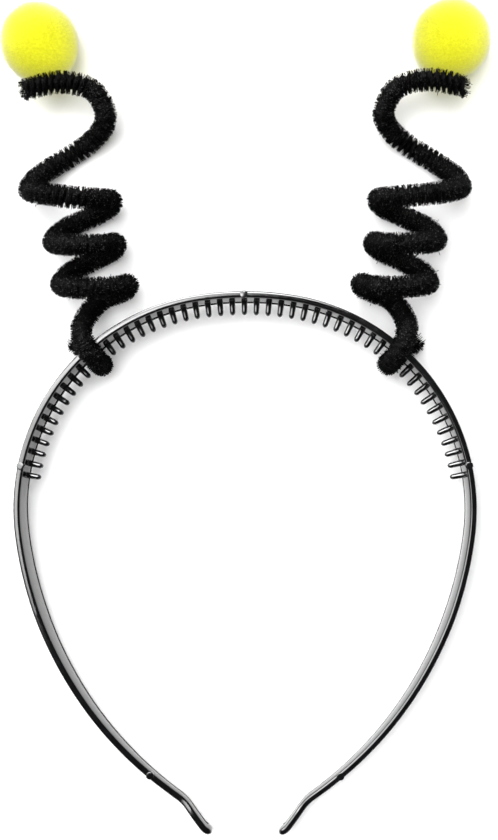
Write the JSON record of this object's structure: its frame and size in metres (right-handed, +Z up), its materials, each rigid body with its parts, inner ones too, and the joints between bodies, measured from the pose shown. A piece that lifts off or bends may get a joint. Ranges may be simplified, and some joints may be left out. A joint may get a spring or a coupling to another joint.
{
  "type": "antenna headband",
  "caption": "Horseshoe plastic headband with comb teeth inside its arch and spring antennae of chenille stem, wrapped onto its shoulders and tipped with yellow pompoms.",
  "frame": {"origin": "middle of the part's box in plan, on the surface that it lies on", "axes": "+X across the head to the right antenna as seen from above, +Y from the band's tips to its crown and the pompoms, +Z up from the surface"},
  "size_m": [0.1376, 0.2364, 0.0236],
  "materials": {
    "black_plastic": "moulded gloss black plastic with soft edges",
    "black_chenille": "black chenille pile twisted into a wire",
    "yellow_pile": "dense short neon yellow pile"
  },
  "bodies": {
    "root": {"headband": "black_plastic", "stem_left": "black_chenille", "stem_right": "black_chenille", "pompom_left": "yellow_pile", "pompom_right": "yellow_pile"}
  },
  "joints": []
}
